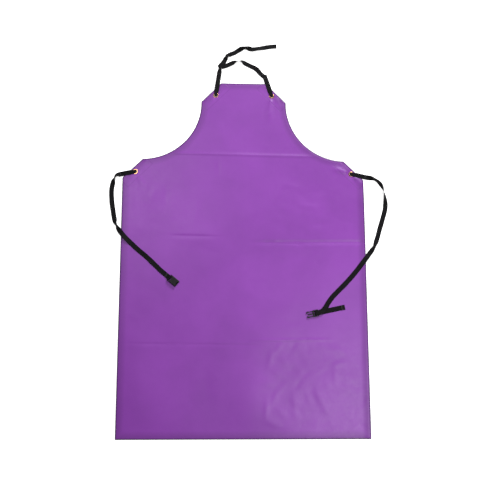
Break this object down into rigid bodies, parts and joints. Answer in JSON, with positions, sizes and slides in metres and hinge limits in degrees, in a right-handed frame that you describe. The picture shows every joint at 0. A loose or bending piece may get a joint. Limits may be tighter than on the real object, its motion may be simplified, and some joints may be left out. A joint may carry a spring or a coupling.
{
  "type": "bib apron",
  "caption": "Flat full-length bib apron in coated sheet, with curved armholes, chamfered eyelet corners, an adjustable neck tape and waist tapes with a side-release buckle.",
  "frame": {"origin": "under the middle of the panel, on the face it rests on", "axes": "+X to the wearer's left, across the apron; +Y from the hem to the bib; +Z out of the apron's front"},
  "size_m": [0.8672, 1.2385, 0.0101],
  "materials": {
    "purple_vinyl": "satin coated vinyl with soft creases",
    "shield_sheet": "matt loaded rubber",
    "brass": "polished, lightly worn",
    "black_tape": "ribbed woven tape",
    "black_thread": "twisted thread",
    "black_plastic": "fine moulded texture"
  },
  "bodies": {
    "apron": {"front_cover": "purple_vinyl", "back_cover": "purple_vinyl", "shield_ply_back": "shield_sheet", "shield_ply_front": "shield_sheet", "shield_ply_middle": "shield_sheet", "corner_patch_bib_left": "purple_vinyl", "corner_patch_bib_right": "purple_vinyl", "corner_patch_waist_left": "purple_vinyl", "corner_patch_waist_right": "purple_vinyl", "eyelet_bib_left": "brass", "eyelet_bib_right": "brass", "eyelet_waist_left": "brass", "eyelet_waist_right": "brass", "eyelet_washer_bib_left": "brass", "eyelet_washer_bib_right": "brass", "eyelet_washer_waist_left": "brass", "eyelet_washer_waist_right": "brass", "neck_loop_left": "black_tape", "neck_loop_right": "black_tape", "neck_stitches_right": "black_thread"},
    "neck_strap": {"neck_tape": "black_tape", "neck_tape_tail": "black_tape", "neck_keeper_eye": "black_tape", "neck_keeper_stitches": "black_thread"},
    "waist_strap_left": {"waist_loop_left": "black_tape", "waist_stitches_left": "black_thread", "waist_tape_left": "black_tape", "socket_tape_end": "black_tape", "socket_stitches": "black_thread"},
    "socket": {"buckle_socket": "black_plastic"},
    "waist_strap_right": {"waist_loop_right": "black_tape", "waist_stitches_right": "black_thread", "waist_tape_right": "black_tape", "waist_tail_right": "black_tape", "tail_hem_right": "black_tape", "tail_stitches_right": "black_thread", "clip_tape_turn": "black_tape"},
    "clip": {"buckle_clip": "black_plastic"},
    "prong_left": {"clip_prong_left": "black_plastic"},
    "prong_right": {"clip_prong_right": "black_plastic"}
  },
  "joints": [
    {"name": "neck_strap_fold", "type": "hinge", "parent": "apron", "child": "neck_strap", "pos_m": [0, 0.578, 0.0015], "axis": [1, 0, 0], "range_deg": [0, 165]},
    {"name": "waist_strap_left_swing", "type": "hinge", "parent": "apron", "child": "waist_strap_left", "pos_m": [-0.3366, 0.2553, 0.002], "axis": [0, 0, -1], "range_deg": [0, 90]},
    {"name": "waist_strap_right_swing", "type": "hinge", "parent": "apron", "child": "waist_strap_right", "pos_m": [0.3366, 0.2553, 0.002], "axis": [0, 0, 1], "range_deg": [0, 90]},
    {"name": "socket_lift", "type": "hinge", "parent": "waist_strap_left", "child": "socket", "pos_m": [-0.2247, -0.0759, 0.0056], "axis": [-0.6293, -0.7771, 0], "range_deg": [0, 70]},
    {"name": "clip_tilt", "type": "hinge", "parent": "waist_strap_right", "child": "clip", "pos_m": [0.217, -0.181, 0.0052], "axis": [-0.2079, 0.9781, 0], "range_deg": [0, 6]},
    {"name": "prong_left_squeeze", "type": "hinge", "parent": "clip", "child": "prong_left", "pos_m": [0.20929, -0.19041, 0.0052], "axis": [0, 0, -1], "range_deg": [0, 9], "stiffness_Nm_per_rad": 0.05},
    {"name": "prong_right_squeeze", "type": "hinge", "parent": "clip", "child": "prong_right", "pos_m": [0.20613, -0.17554, 0.0052], "axis": [0, 0, 1], "range_deg": [0, 9], "stiffness_Nm_per_rad": 0.05}
  ]
}
